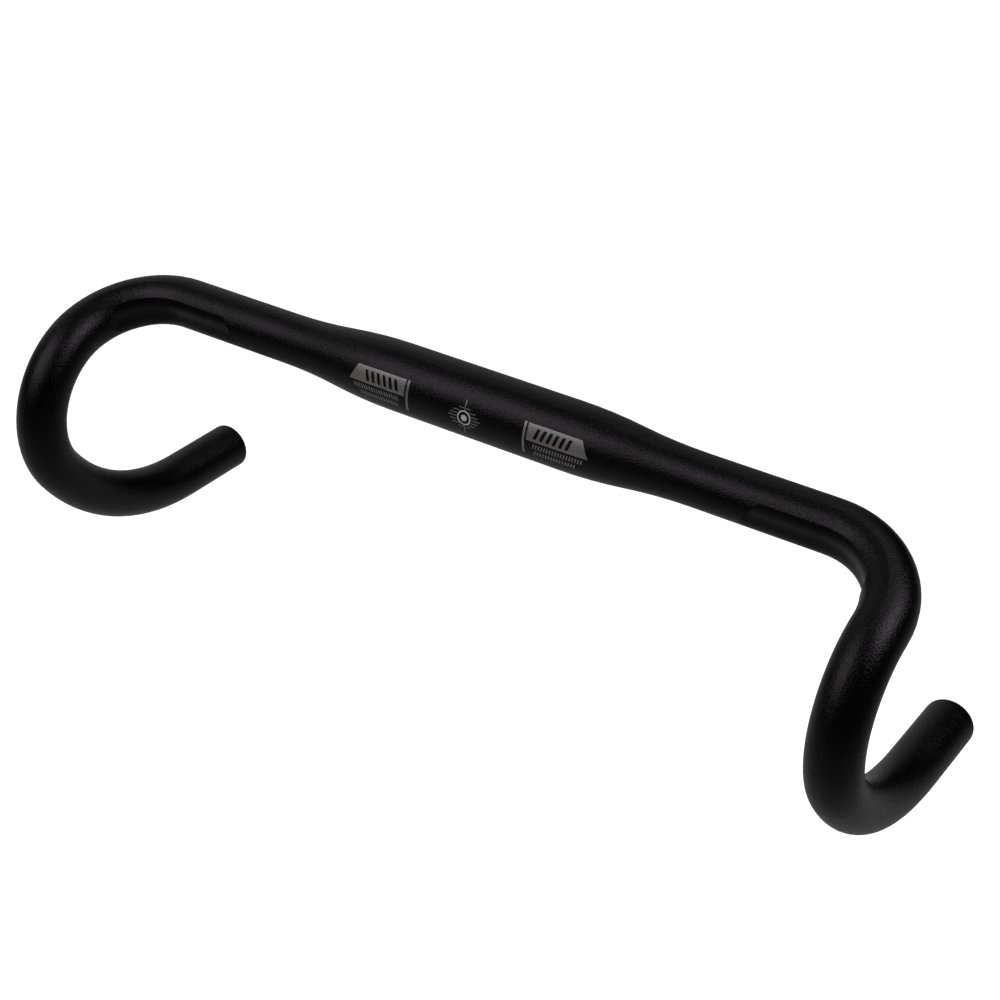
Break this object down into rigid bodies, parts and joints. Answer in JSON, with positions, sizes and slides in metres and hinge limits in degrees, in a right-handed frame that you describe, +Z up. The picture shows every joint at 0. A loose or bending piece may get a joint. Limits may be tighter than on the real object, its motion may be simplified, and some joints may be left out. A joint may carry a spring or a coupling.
{
  "type": "drop handlebar",
  "caption": "Drop handlebar: a bent tube with a thicker round stem clamp area, smooth tapers, cable grooves along the top bends, compact hooks and plugged ends.",
  "frame": {"origin": "centre of the stem's clamp area, on the bar's axis there", "axes": "+X along the bar to the rider's left, -Y forward, the way the hooks reach, +Z up, with the ends of the drops level"},
  "size_m": [0.4438, 0.1459, 0.1498],
  "materials": {
    "bar": "fine-blasted, black anodised, with a satin sheen",
    "plug": "plain moulded black plastic"
  },
  "bodies": {
    "root": {"bar": "bar", "left_plug": "plug", "right_plug": "plug"}
  },
  "joints": []
}
